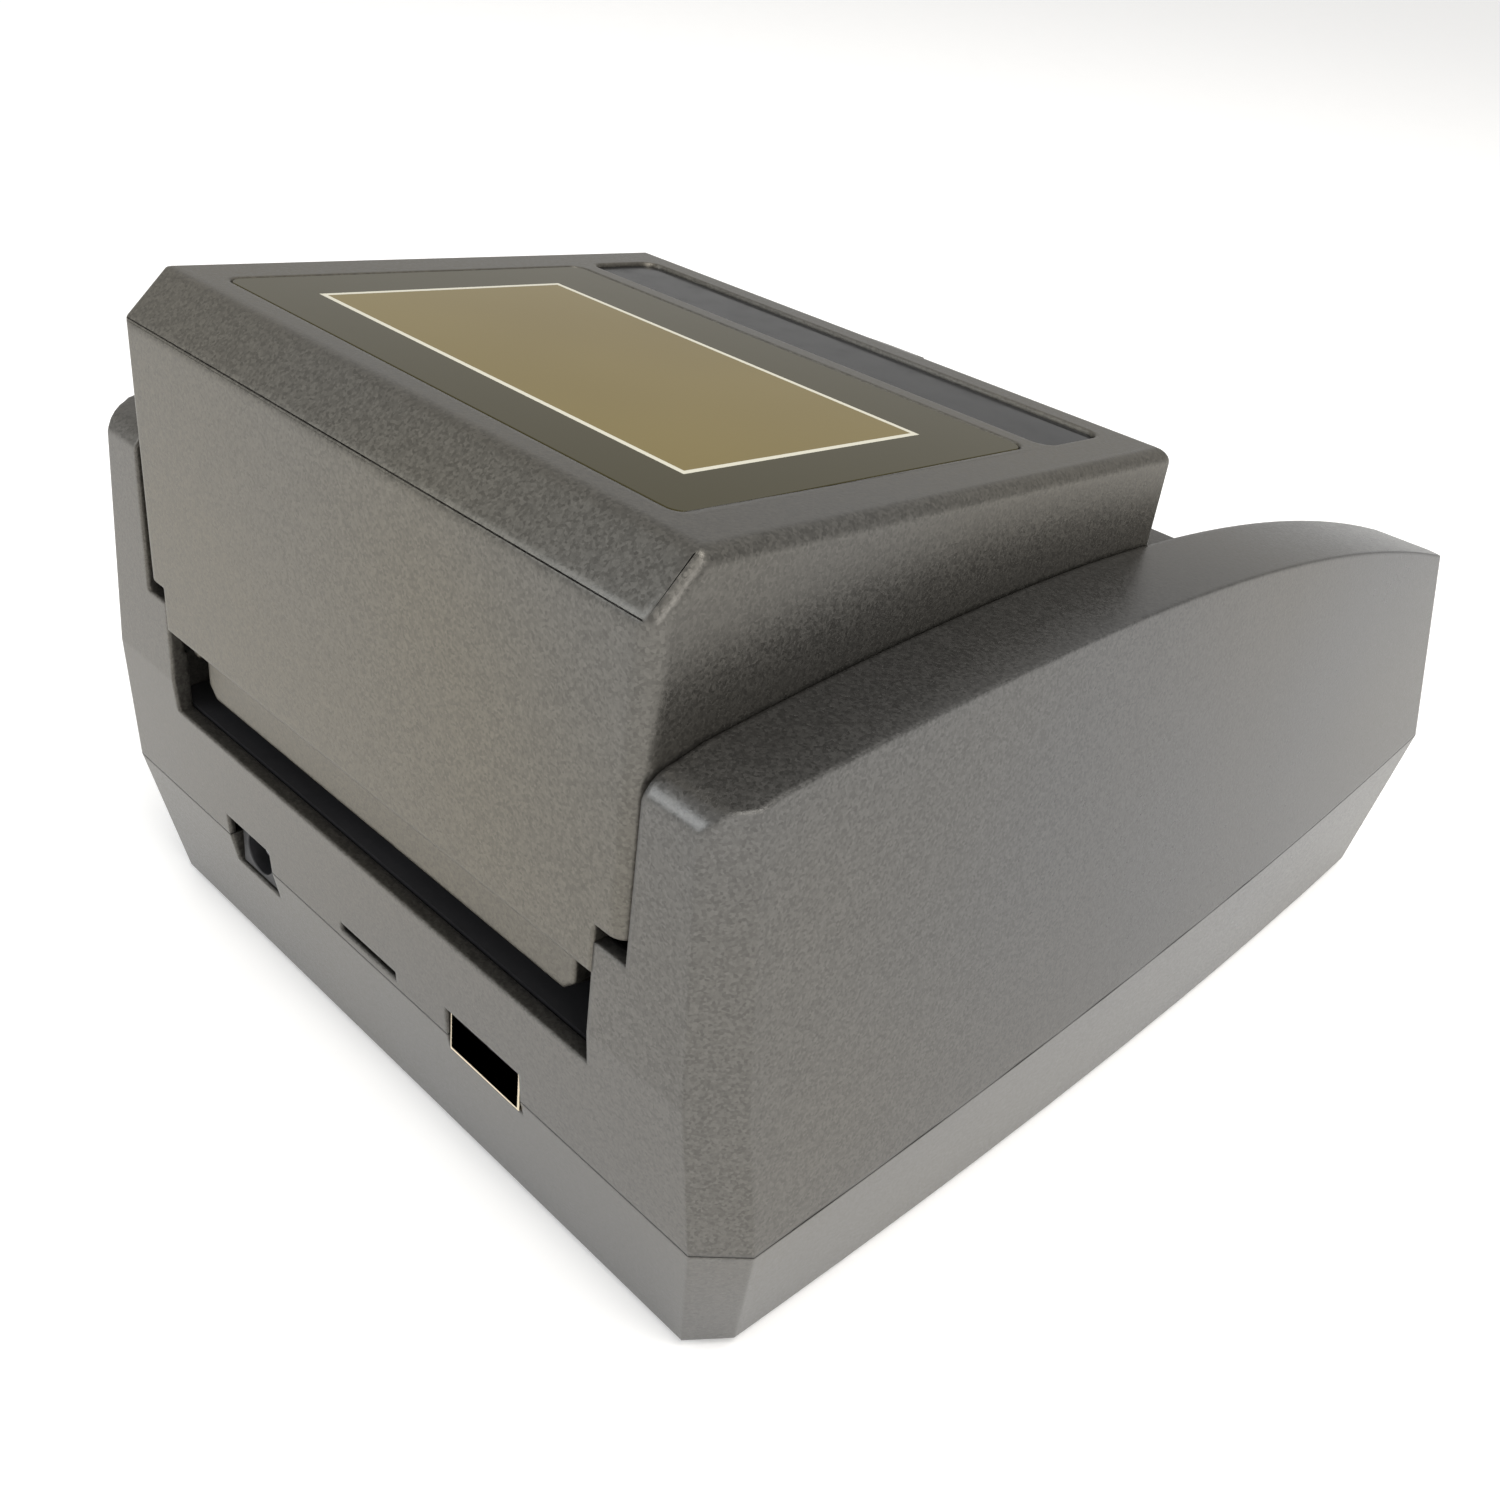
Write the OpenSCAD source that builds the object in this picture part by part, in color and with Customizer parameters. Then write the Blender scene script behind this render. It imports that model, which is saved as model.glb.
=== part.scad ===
// Counterfeit bill detector: two-part casing with arched cheeks, a hinged
// display hood between them and a motor-driven bill path underneath.
// X is to the user's right, -Y is the user's side, +Y is the rear, Z is up.

/* [Casing] */
// Largest width of the casing, half way along its bowed sides
case_w = 130; // [126:1:138]
// Length of the casing from front to rear
case_l = 168; // [166:1:172]
// How far each side bows outward
side_bow = 2.1; // [1:0.1:3]
// Thickness of the casing walls
wall = 2.4; // [2:0.1:2.8]
// Height of the parting seam at the rear
seam_rear_z = 21.5; // [20:0.5:23]
// How much higher the seam is at the front
seam_rise = 8.3; // [7:0.1:9]
// Highest point of the arched cheeks
cheek_top_z = 78.2; // [76:0.2:80]
// Height of the cheeks at their front tip
cheek_tip_z = 61.7; // [58:0.1:64]

/* [Hood] */
// Width of the hood between the cheeks
hood_w = 94; // [92:0.5:95]
// Height of the hood's top rear edge
hood_top_z = 94.6; // [92:0.2:97]
// Drop of the hood's top toward the user
hood_drop = 5.3; // [3:0.1:8]
// Thickness of the hood's walls
hood_wall = 2.4; // [2:0.1:2.8]
// Width of the glossy display window
window_w = 78.6; // [74:0.2:80]
// Length of the glossy display window
window_l = 53.4; // [50:0.2:54]

/* [Bill path] */
// Lower edge of the exit slot in the rear wall
slot_z = 37; // [36:0.1:38]
// Half the width of the exit slot
slot_half_w = 42.6; // [42:0.1:43]
// Height of the bill bed where the bill enters
bed_front_z = 42; // [41:0.1:43]
// Radius of the driven rubber rollers
drive_r = 8; // [7.6:0.1:8]
// Radius of the pinch rollers in the hood
pinch_r = 4.5; // [4:0.1:4.6]

/* [Hidden] */
$fn = 48;
eps = 0.02;
gap = 0.3;

// Casing outline
half_l = case_l / 2;
corner_half_w = case_w / 2 - side_bow;
corner_cut_x = 4.4;
corner_cut_y = 4.9;
bow_steps = 18;
foot_h = 1.5;
foot_r = 6;
foot_x = 40;
foot_y = 66;
base_inset_side = 4.1;
base_inset_rear = 5.8;
seam_tilt = atan(seam_rise / case_l);
upper_h = 60;
upper_draft_side = 0.105;
upper_draft_front = 0.25;
upper_inset_side = upper_h * upper_draft_side;
upper_inset_rear = upper_h * tan(seam_tilt);
rear_tuck = 1.6;
rear_bulge_h = 20;
rear_top_tuck = 0.4;
boss_rib_t = 1.8;
upper_inset_front = upper_h * upper_draft_front;

// Cheeks
channel_half_w = hood_w / 2 + gap;
inner_wall = 2.2;
cheek_peak_y = 26;
cheek_rear_drop = 3.5;
cheek_tip_y = -74.4;
cheek_round = 4;
arch_steps = 48;

// Hood
hood_half_w = hood_w / 2;
hood_rear_z = hood_top_z - 5.6;
hood_cut_y = 5.8;
hood_front_y = 1.4;
hood_front_z = hood_top_z - hood_drop;
hood_tilt = atan(hood_drop / (half_l - hood_cut_y - hood_front_y));
panel_bottom_z = slot_z + 12.2;
notch_z = panel_bottom_z + 6;
tab_z = notch_z - 2.2;
tab_d = 2;
pivot_y = half_l - 8;
pivot_z = notch_z + 8;
pin_r = 2;
run_gap = 0.05;
side_bottom_z = notch_z - 3.2;

// Bill path
bed_slope = (bed_front_z - slot_z - 0.3) / 81;
bed_t = 2;
bed_start_y = 0.9;
bed_end_y = 81.3;
bed_half_w = channel_half_w - 0.4;
flange_x = 42;
flange_t = 2;
path_gap = 2;
strip_z = slot_z + 4.2;
front_roller_y = 20;
rear_roller_y = 54;
roller_proud = 0.6;
roller_x = 24;
roller_w = 10;
shaft_r = 2;
pulley_x = 37;
pulley_w = 4;
pulley_r = 4.2;
belt_t = 0.9;
motor_y = 37;
motor_z = 19;
motor_r = 11;
motor_pulley_r = 3.2;
bed_foot_z = 26;
bed_foot_x = 46.2;
bed_foot_y = [10, 44];

// Boards and ports
floor_z = foot_h + wall;
main_board_z = 8;
io_board_z = 17.4;
board_t = 1.6;
port_face_y = half_l - rear_tuck - 0.1;
socket_face_y = 78.2;
usb_x = -23.8;
usb_z = 22.6;
usb_w = 13.1;
usb_h = 5.9;
sheet_t = 0.4;
card_x = -0.5;
card_z = 23.5;
jack_x = 27.8;
jack_z = 21;

function bed_z(y) = bed_front_z - bed_slope * y;
function seam_z(y) = seam_rear_z + seam_rise * (half_l - y) / case_l;
function bow(y) = 4 * side_bow * (half_l - y) * (half_l + y) / (case_l * case_l);
function cheek_z(y) =
    y > cheek_peak_y
    ? cheek_top_z - cheek_rear_drop * pow((y - cheek_peak_y) / (half_l - cheek_peak_y), 2)
    : cheek_top_z
      - (cheek_top_z - cheek_tip_z) * pow((y - cheek_peak_y) / (cheek_tip_y - cheek_peak_y), 2);

// Right-hand edge of the plan outline, from the rear to the front
function plan_edge(side, rear, front) = concat(
    [[corner_half_w - corner_cut_x - side * 0.75, half_l - rear]],
    [for (i = [0:bow_steps])
        let (y0 = half_l - corner_cut_y, y = y0 - i * 2 * y0 / bow_steps,
             t = (y + half_l) / case_l)
        [corner_half_w + bow(y) - side, y - rear * t + front * (1 - t)]],
    [[corner_half_w - corner_cut_x - side * 0.75, -half_l + front]]);

module plan(side, rear, front) {
    edge = plan_edge(side, rear, front);
    n = len(edge);
    polygon(concat(edge, [for (i = [n - 1:-1:0]) [-edge[i][0], edge[i][1]]]));
}

// A thin slice of the plan at a height above the sloping seam
module seam_slice(h, side, rear, front)
    translate([0, half_l, seam_rear_z])
        rotate([-seam_tilt, 0, 0])
            translate([0, -half_l, h])
                linear_extrude(eps) plan(side, rear, front);

// A thin level slice of the plan
module level_slice(z, side, rear, front)
    translate([0, 0, z])
        linear_extrude(eps) plan(side, rear, front);

// A side-view outline, drawn as [y, z] points, stretched across X
module across(w, x = 0)
    translate([x - w / 2, 0, 0])
        rotate([90, 0, 90])
            linear_extrude(w) children();

module rod(y, z, x0, x1, r)
    translate([x0, y, z])
        rotate([0, 90, 0])
            cylinder(h = x1 - x0, r = r);

module block(x0, x1, y0, y1, z0, z1)
    translate([x0, y0, z0])
        cube([x1 - x0, y1 - y0, z1 - z0]);

module both_sides() {
    children();
    mirror([1, 0, 0]) children();
}

module rounded_bar(w, l, h, r)
    linear_extrude(h)
        difference() {
            square([w, l], center = true);
            for (sx = [-1, 1], sy = [-1, 1])
                translate([sx * w / 2, sy * l / 2])
                    difference() {
                        square(2 * r, center = true);
                        translate([-sx * r, -sy * r]) circle(r);
                    }
        }

// The frame of the hood's sloping top: its rear edge is at y = 0
module on_hood_top()
    translate([0, half_l - hood_cut_y, hood_top_z])
        rotate([hood_tilt, 0, 0])
            children();

// ---------------------------------------------------------------- casing

casing_screw_x = 53.5;
casing_screw_y = [68, -62];
boss_r = 3.6;
screw_r = 1.5;
screw_head_r = 2.9;
screw_head_h = 1.8;

module at_casing_screws()
    for (sx = [-1, 1], y = casing_screw_y)
        translate([sx * casing_screw_x, y, 0]) children();

module port_cutouts() {
    block(usb_x - 6.9, usb_x + 6.9, half_l - 8, half_l + 2, usb_z - 3.3, usb_z + 3.3);
    block(card_x - 6, card_x + 6, half_l - 8, half_l + 2, card_z - 0.7, card_z + 0.7);
    block(jack_x - 5.4, jack_x + 5.4, half_l - 8, half_l + 2, jack_z - 4, jack_z + 4);
}

board_post_x = 44;
main_board_y = [-31, -6];
io_post_x = 42;
io_post_y = [66.5, 75.5];

module lower_casing() color([0.39, 0.39, 0.38]) {
    difference() {
        union() {
            difference() {
                hull() {
                    level_slice(foot_h, base_inset_side, base_inset_rear, 0);
                    seam_slice(-eps, 0, rear_tuck, 0);
                }
                hull() {
                    level_slice(floor_z, base_inset_side + wall, base_inset_rear + wall, wall);
                    seam_slice(1, wall, wall + rear_tuck, wall);
                }
            }
            intersection() {
                at_casing_screws()
                    translate([0, 0, foot_h]) cylinder(h = seam_rear_z + seam_rise, r = boss_r);
                hull() {
                    level_slice(foot_h, base_inset_side + 1, base_inset_rear + 1, 1);
                    seam_slice(-1, 1, 1 + rear_tuck, 1);
                }
            }
            for (sx = [-1, 1], y = main_board_y)
                translate([sx * board_post_x, y, foot_h]) cylinder(h = main_board_z - foot_h, r = 2.6);
            for (sx = [-1, 1], y = io_post_y)
                translate([sx * io_post_x, y, foot_h]) cylinder(h = io_board_z - foot_h, r = 2.3);
            for (sx = [-1, 1], y = bed_foot_y)
                translate([sx * bed_foot_x, y, foot_h]) cylinder(h = bed_foot_z - foot_h, r = 2.6);
        }
        at_casing_screws() {
            translate([0, 0, -eps]) cylinder(h = 30, r = screw_r + 0.15);
            translate([0, 0, -eps]) cylinder(h = foot_h + screw_head_h + 0.6, r = screw_head_r + 0.3);
        }
        for (sx = [-1, 1], sy = [-1, 1])
            translate([sx * foot_x, sy * foot_y, 0]) cylinder(h = foot_h + 1, r = foot_r + 0.1);
        for (sx = [-1, 1], y = main_board_y)
            translate([sx * board_post_x, y, floor_z]) cylinder(h = 10, r = 1);
        for (sx = [-1, 1], y = io_post_y)
            translate([sx * io_post_x, y, floor_z]) cylinder(h = 20, r = 1);
        for (sx = [-1, 1], y = bed_foot_y)
            translate([sx * bed_foot_x, y, bed_foot_z - 8]) cylinder(h = 9, r = 1.2);
        port_cutouts();
    }
}

// Side view of the cheeks, lowered by an inset for the hollow inside
module cheek_outline(inset) {
    rear = half_l + 5;
    polygon(concat(
        [[-half_l - 5, 0], [rear, 0]],
        [for (i = [0:6])
            let (a = i * 15, r = cheek_round)
            [half_l - r + r * cos(a) - inset, cheek_z(half_l) - r + r * sin(a) - inset]],
        [for (i = [1:arch_steps])
            let (y = half_l - cheek_round - i * (half_l - cheek_round + half_l) / arch_steps)
            [y, cheek_z(y) - inset]]));
}

feed_floor_z = bed_front_z + 0.2;
feed_lip_z = feed_floor_z + 3;

// The upper casing's drafted sides and slightly rounded rear, at a depth in its wall
module upper_body(depth, start_h)
    hull() {
        seam_slice(start_h, depth, depth + rear_tuck, depth);
        seam_slice(rear_bulge_h, depth + rear_bulge_h * upper_draft_side,
                   depth + rear_bulge_h * tan(seam_tilt), depth + rear_bulge_h * upper_draft_front);
        seam_slice(upper_h, depth + upper_inset_side, depth + upper_inset_rear + rear_top_tuck,
                   depth + upper_inset_front);
    }

module upper_outer()
    intersection() {
        upper_body(0, eps);
        across(case_w + 20) cheek_outline(0);
    }

module upper_inner()
    intersection() {
        upper_body(wall, -1);
        across(case_w + 20) cheek_outline(wall);
    }

// Where the hood and the bills go between the cheeks
module hood_channel() {
    block(-channel_half_w, channel_half_w, -half_l - 1, half_l - tab_d, feed_lip_z, 120);
    block(-channel_half_w, channel_half_w, bed_start_y - 1, half_l - wall, 20, 120);
    block(-channel_half_w, channel_half_w, half_l - tab_d - eps, half_l + 1, tab_z, 120);
    block(-slot_half_w, slot_half_w, half_l - wall - 1, half_l + 1, slot_z, 120);
}

module upper_casing() color([0.41, 0.41, 0.40]) {
    boss_z = 46;
    difference() {
        union() {
            difference() {
                upper_outer();
                upper_inner();
                hood_channel();
            }
            // Walls between each hollow cheek and the channel
            both_sides()
                intersection() {
                    upper_outer();
                    across(inner_wall, channel_half_w + inner_wall / 2)
                        polygon([[-half_l, feed_floor_z - 6], [-1, feed_floor_z - 6],
                                 [half_l - 1, slot_z - 3], [half_l, 100], [-half_l, 100]]);
                }
            // Feed floor that leads a bill down to the bed
            intersection() {
                upper_body(1, eps);
                across(2 * channel_half_w + inner_wall)
                    polygon([[-half_l, feed_lip_z - 2.2], [-half_l, feed_lip_z],
                             [-72, feed_lip_z], [-50, feed_floor_z],
                             [0.3, feed_floor_z], [0.3, feed_floor_z - 2.2],
                             [-50, feed_floor_z - 2.2], [-72, feed_lip_z - 2.2]]);
            }
            // Screw bosses inside the cheeks, with ribs to the walls beside them
            intersection() {
                both_sides()
                    for (y = casing_screw_y) {
                        translate([casing_screw_x, y, seam_z(y) + 0.6])
                            cylinder(h = boss_z - seam_z(y), r = boss_r);
                        block(channel_half_w + 1, case_w / 2, y - boss_rib_t / 2, y + boss_rib_t / 2,
                              boss_z - 8, boss_z);
                    }
                upper_outer();
            }
            // Hinge bosses on the hidden side of the channel walls
            both_sides()
                rod(pivot_y, pivot_z, channel_half_w + 1, channel_half_w + 6, pin_r + 2);
        }
        at_casing_screws()
            translate([0, 0, 15]) cylinder(h = 27, r = screw_r);
        both_sides()
            rod(pivot_y, pivot_z, channel_half_w - 1, channel_half_w + 5, pin_r);
        port_cutouts();
        both_sides()
            rod(magnet_y, magnet_z, channel_half_w - 1, channel_half_w + 1.2, magnet_r + 0.05);
    }
}

module rubber_feet() color([0.10, 0.10, 0.10])
    for (sx = [-1, 1], sy = [-1, 1])
        translate([sx * foot_x, sy * foot_y, 0]) {
            cylinder(h = foot_h + 1, r = foot_r);
        }

module casing_screws() color([0.62, 0.62, 0.64])
    for (sx = [-1, 1], y = casing_screw_y)
        translate([sx * casing_screw_x, y, foot_h + 0.4])
            difference() {
                union() {
                    cylinder(h = screw_head_h, r = screw_head_r);
                    cylinder(h = 38, r = screw_r);
                }
                translate([0, 0, -eps]) {
                    translate([-2, -0.4, 0]) cube([4, 0.8, 1]);
                    translate([-0.4, -2, 0]) cube([0.8, 4, 1]);
                }
            }

// ------------------------------------------------------------- bill path

module roller_windows(y, r, clear, z0, z1)
    for (sx = [-1, 1])
        translate([sx * roller_x - roller_w / 2 - 0.8, y - r - clear, z0])
            cube([roller_w + 1.6, 2 * (r + clear), z1 - z0]);

front_shaft_z = bed_z(front_roller_y) + roller_proud - drive_r;
rear_shaft_z = bed_z(rear_roller_y) + roller_proud - drive_r;
window_half = 6.8;
pinch_window_half = 5;
bush_r = 3.6;
lens_y = 37;
lens_l = 12;

module bill_bed() color([0.12, 0.12, 0.13])
    difference() {
        union() {
            across(2 * bed_half_w)
                polygon([[bed_start_y, bed_z(bed_start_y) - bed_t], [bed_start_y, bed_z(bed_start_y)],
                         [bed_end_y, bed_z(bed_end_y)], [bed_end_y, bed_z(bed_end_y) - bed_t]]);
            both_sides()
                across(flange_t, flange_x + flange_t / 2)
                    polygon([[bed_start_y + 1, bed_z(bed_start_y) - 1], [62, bed_z(62) - 1],
                             [62, bed_foot_z], [bed_start_y + 1, bed_foot_z]]);
            // Feet that stand on the lower casing's posts
            both_sides()
                for (y = bed_foot_y)
                    block(flange_x + 1, bed_foot_x + 2.6, y - 3, y + 3, bed_foot_z, bed_foot_z + 2);
        }
        roller_windows(front_roller_y, window_half, 0, 30, 50);
        roller_windows(rear_roller_y, window_half, 0, 30, 50);
        block(-32, 32, lens_y - lens_l / 2 - 0.3, lens_y + lens_l / 2 + 0.3, 34, 46);
        both_sides() {
            rod(front_roller_y, front_shaft_z, flange_x - 1, flange_x + 3, bush_r);
            rod(rear_roller_y, rear_shaft_z, flange_x - 1, flange_x + 3, bush_r);
            for (y = bed_foot_y)
                translate([bed_foot_x, y, 20]) cylinder(h = 12, r = 1.3);
        }
    }

module bed_screws() color([0.62, 0.62, 0.64])
    both_sides()
        for (y = bed_foot_y)
            translate([bed_foot_x, y, bed_foot_z - 6]) {
                cylinder(h = 8, r = 1.15);
                translate([0, 0, 8]) cylinder(h = 1.2, r = 2);
            }

module shaft_bushes() color([0.72, 0.55, 0.28])
    both_sides()
        for (p = [[front_roller_y, front_shaft_z], [rear_roller_y, rear_shaft_z]])
            difference() {
                union() {
                    rod(p[0], p[1], flange_x, flange_x + flange_t, bush_r);
                    rod(p[0], p[1], flange_x - 1, flange_x - eps, bush_r + 1);
                }
                rod(p[0], p[1], flange_x - 2, flange_x + 3, shaft_r + run_gap);
            }

module drive_shaft(y, z) color([0.70, 0.71, 0.73])
    rod(y, z, -flange_x - flange_t - 0.8, flange_x + flange_t + 0.8, shaft_r);

module tyres(y, z, r, colour)
    color(colour)
        for (sx = [-1, 1])
            difference() {
                rod(y, z, sx * roller_x - roller_w / 2, sx * roller_x + roller_w / 2, r);
                rod(y, z, sx * roller_x - roller_w, sx * roller_x + roller_w, shaft_r);
            }

module pulley(y, z, r, bore) color([0.85, 0.84, 0.80])
    difference() {
        union() {
            rod(y, z, pulley_x, pulley_x + pulley_w, r);
            rod(y, z, pulley_x, pulley_x + 0.6, r + 0.7);
            rod(y, z, pulley_x + pulley_w - 0.6, pulley_x + pulley_w, r + 0.7);
        }
        rod(y, z, pulley_x - 1, pulley_x + pulley_w + 1, bore);
    }

module front_shaft() drive_shaft(front_roller_y, front_shaft_z);
module front_drive_rollers() tyres(front_roller_y, front_shaft_z, drive_r, [0.16, 0.16, 0.17]);
module front_pulley() pulley(front_roller_y, front_shaft_z, pulley_r, shaft_r);
module rear_shaft() drive_shaft(rear_roller_y, rear_shaft_z);
module rear_drive_rollers() tyres(rear_roller_y, rear_shaft_z, drive_r, [0.16, 0.16, 0.17]);
module rear_pulley() pulley(rear_roller_y, rear_shaft_z, pulley_r, shaft_r);

motor_shaft_r = 1;
motor_x0 = 2;
motor_x1 = 33;

module motor() color([0.68, 0.69, 0.70])
    difference() {
        union() {
            rod(motor_y, motor_z, motor_x0, motor_x1, motor_r);
            rod(motor_y, motor_z, motor_x1 - eps, motor_x1 + 1.4, 4);
            rod(motor_y, motor_z, motor_x0 - 2, motor_x0 + eps, 4);
        }
        rod(motor_y, motor_z, motor_x1 - 6, motor_x1 + 3, motor_shaft_r + run_gap);
    }

module motor_bracket() color([0.60, 0.61, 0.62])
    difference() {
        union() {
            block(motor_x1 + 0.05, motor_x1 + 1.25, motor_y - 12, motor_y + 12, floor_z, 30.5);
            block(motor_x0 + 12, motor_x1 + 1.25, motor_y - 12, motor_y + 12, floor_z, floor_z + 1.2);
        }
        rod(motor_y, motor_z, motor_x1 - 2, motor_x1 + 3, 4.05);
        for (y = [motor_y - 9, motor_y + 9])
            translate([motor_x0 + 18, y, 0]) cylinder(h = 8, r = 1.5);
    }

module motor_pulley() color([0.85, 0.84, 0.80])
    difference() {
        union() {
            rod(motor_y, motor_z, pulley_x, pulley_x + pulley_w, motor_pulley_r);
            rod(motor_y, motor_z, motor_x1 - 5, pulley_x + 1, motor_shaft_r);
        }
    }

module belt_path(extra)
    hull()
        for (p = [[front_roller_y, front_shaft_z, pulley_r], [rear_roller_y, rear_shaft_z, pulley_r],
                  [motor_y, motor_z, motor_pulley_r]])
            translate([p[0], p[1]]) circle(r = p[2] + extra, $fn = 32);

module drive_belt() color([0.08, 0.08, 0.08])
    across(2.4, pulley_x + pulley_w / 2)
        difference() {
            belt_path(0.1 + belt_t);
            belt_path(0.1);
        }

module lower_sensor_bar() color([0.10, 0.12, 0.16]) {
    z = bed_z(lens_y);
    difference() {
        block(-31.7, 31.7, lens_y - lens_l / 2, lens_y + lens_l / 2, z - 5.4, z - 0.9);
        for (i = [-4:4])
            translate([i * 6.6, lens_y, z - 1.6]) cylinder(h = 2, r = 1.8);
    }
}

// ------------------------------------------------------------- electronics

module board(x0, x1, y0, y1, z, holes, hole_x)
    difference() {
        block(x0, x1, y0, y1, z, z + board_t);
        for (sx = [-1, 1], y = holes)
            translate([sx * hole_x, y, z - 1]) cylinder(h = 4, r = 1.5);
    }

module main_board() color([0.08, 0.30, 0.16]) {
    top = main_board_z + board_t;
    board(-49, 49, -36, -1, main_board_z, main_board_y, board_post_x);
    block(-30, -16, -20, -6, top - eps, top + 1.6);
    block(4, 14, -24, -14, top - eps, top + 1.4);
    block(18, 34, -12, -4, top - eps, top + 5);
    for (i = [0:3])
        translate([-34 + i * 9, -31, top - eps]) cylinder(h = 7, r = 2.5);
}

module board_screws() color([0.62, 0.62, 0.64])
    for (sx = [-1, 1], y = main_board_y)
        translate([sx * board_post_x, y, main_board_z + board_t]) {
            cylinder(h = 1.4, r = 2.4);
            translate([0, 0, -5.4]) cylinder(h = 5.4 + eps, r = 0.95);
        }

module io_board() color([0.08, 0.30, 0.16])
    difference() {
        board(-46, 46, 63.5, socket_face_y, io_board_z, io_post_y, io_post_x);
        block(jack_x - 4.9, jack_x + 4.9, 67.4, 90, 10, 30);
    }

module io_board_screws() color([0.62, 0.62, 0.64])
    for (sx = [-1, 1], y = io_post_y)
        translate([sx * io_post_x, y, io_board_z + board_t]) {
            cylinder(h = 1.2, r = 2.1);
            translate([0, 0, -5.4]) cylinder(h = 5.4 + eps, r = 0.95);
        }

module usb_port() color([0.80, 0.74, 0.62])
    difference() {
        union() {
            block(usb_x - usb_w / 2, usb_x + usb_w / 2, port_face_y - 14, port_face_y,
                  usb_z - usb_h / 2, usb_z + usb_h / 2);
            block(usb_x - 5, usb_x + 5, port_face_y - 13, port_face_y - 5,
                  io_board_z + board_t, usb_z - usb_h / 2 + eps);
        }
        block(usb_x - usb_w / 2 + sheet_t, usb_x + usb_w / 2 - sheet_t, port_face_y - 13, half_l + 1,
              usb_z - usb_h / 2 + sheet_t, usb_z + usb_h / 2 - sheet_t);
    }

module usb_tongue() color([0.12, 0.12, 0.13]) {
    block(usb_x - 5.6, usb_x + 5.6, port_face_y - 12.98, port_face_y - 1,
          usb_z + 0.1, usb_z + 2);
    block(usb_x - 6.1, usb_x + 6.1, port_face_y - 12.99, port_face_y - 10,
          usb_z - 2.5, usb_z + 2.5);
}

module dc_jack() color([0.07, 0.07, 0.08])
    difference() {
        union() {
            block(jack_x - 4.5, jack_x + 4.5, port_face_y - 14.5, socket_face_y,
                  jack_z - 5.4, jack_z + 5.2);
            block(jack_x - 4.5, jack_x + 4.5, socket_face_y - 1, port_face_y - 1.2,
                  jack_z - 3.7, jack_z + 3.7);
        }
        translate([jack_x, port_face_y - 11, jack_z])
            rotate([-90, 0, 0]) cylinder(h = 14, r = 3.1);
    }

module dc_jack_pin() color([0.80, 0.80, 0.80])
    translate([jack_x, port_face_y - 11, jack_z])
        rotate([-90, 0, 0]) cylinder(h = 8.5, r = 1);

module card_socket() color([0.66, 0.67, 0.68])
    difference() {
        block(card_x - 7, card_x + 7, port_face_y - 17, socket_face_y,
              io_board_z + board_t, card_z + 0.9);
        block(card_x - 5.6, card_x + 5.6, port_face_y - 15, half_l,
              card_z - 0.5, card_z + 0.5);
    }

module battery_pack() color([0.16, 0.30, 0.52])
    for (i = [0:2])
        rod(-73 + i * 14.2, floor_z + 7.25, -33, 33, 7.2);

module buzzer() color([0.09, 0.09, 0.09])
    translate([41, -62, floor_z + 0.02])
        difference() {
            cylinder(h = 9, r = 6);
            translate([0, 0, 7]) cylinder(h = 3, r = 1.2);
        }

// ------------------------------------------------------------------- hood

module hinge_pins() color([0.72, 0.73, 0.75])
    both_sides()
        rod(pivot_y, pivot_z, hood_half_w - 3.6, channel_half_w + 4.9, pin_r);

module hood_profile()
    polygon([[half_l, panel_bottom_z], [half_l, hood_rear_z],
             [half_l - hood_cut_y, hood_top_z], [hood_front_y, hood_front_z],
             [hood_front_y, side_bottom_z], [70, side_bottom_z],
             [70, panel_bottom_z]]);

// The hood's outer shape with its side and rear edges rounded over
module hood_outer() {
    corner_r = 2.4;
    edge_r = 1.8;
    deep = 80;
    chamfer_tilt = atan((hood_top_z - hood_rear_z) / hood_cut_y);
    intersection() {
        across(hood_w) hood_profile();
        // Upright rear corners
        translate([0, half_l - deep, 0])
            rounded_bar(hood_w, 2 * deep, hood_top_z + 10, corner_r);
        // Side edges of the sloping top
        on_hood_top()
            translate([0, 30, -deep])
                rotate([90, 0, 0]) rounded_bar(hood_w, 2 * deep, 2 * deep, edge_r);
        // Side edges of the rear chamfer
        translate([0, half_l, hood_rear_z])
            rotate([-chamfer_tilt, 0, 0])
                translate([0, 30, -deep])
                    rotate([90, 0, 0]) rounded_bar(hood_w, 2 * deep, 4 * deep, edge_r);
        // The edge between the chamfer and the top, and the one below it
        across(hood_w + 2)
            polygon(concat(
                arc_corner([half_l, panel_bottom_z], [half_l, hood_rear_z],
                           [half_l - hood_cut_y, hood_top_z], corner_r),
                arc_corner([half_l, hood_rear_z], [half_l - hood_cut_y, hood_top_z],
                           [hood_front_y, hood_front_z], corner_r),
                arc_corner([half_l - hood_cut_y, hood_top_z], [hood_front_y, hood_front_z],
                           [hood_front_y, side_bottom_z], edge_r),
                [[hood_front_y, 0], [half_l, 0]]));
    }
}

// Points of a rounded corner at b, between the lines from a and to c
function arc_corner(a, b, c, r) =
    let (u = (a - b) / norm(a - b), v = (c - b) / norm(c - b),
         half = acos(u * v) / 2, m = (u + v) / norm(u + v),
         o = b + m * r / sin(half), start = b + u * r / tan(half) - o,
         end = b + v * r / tan(half) - o, turn = 180 - 2 * half,
         sense = start[0] * end[1] - start[1] * end[0] > 0 ? 1 : -1)
    [for (i = [0:6])
        let (t = sense * turn * i / 6)
        [o[0] + start[0] * cos(t) - start[1] * sin(t),
         o[1] + start[0] * sin(t) + start[1] * cos(t)]];

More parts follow.
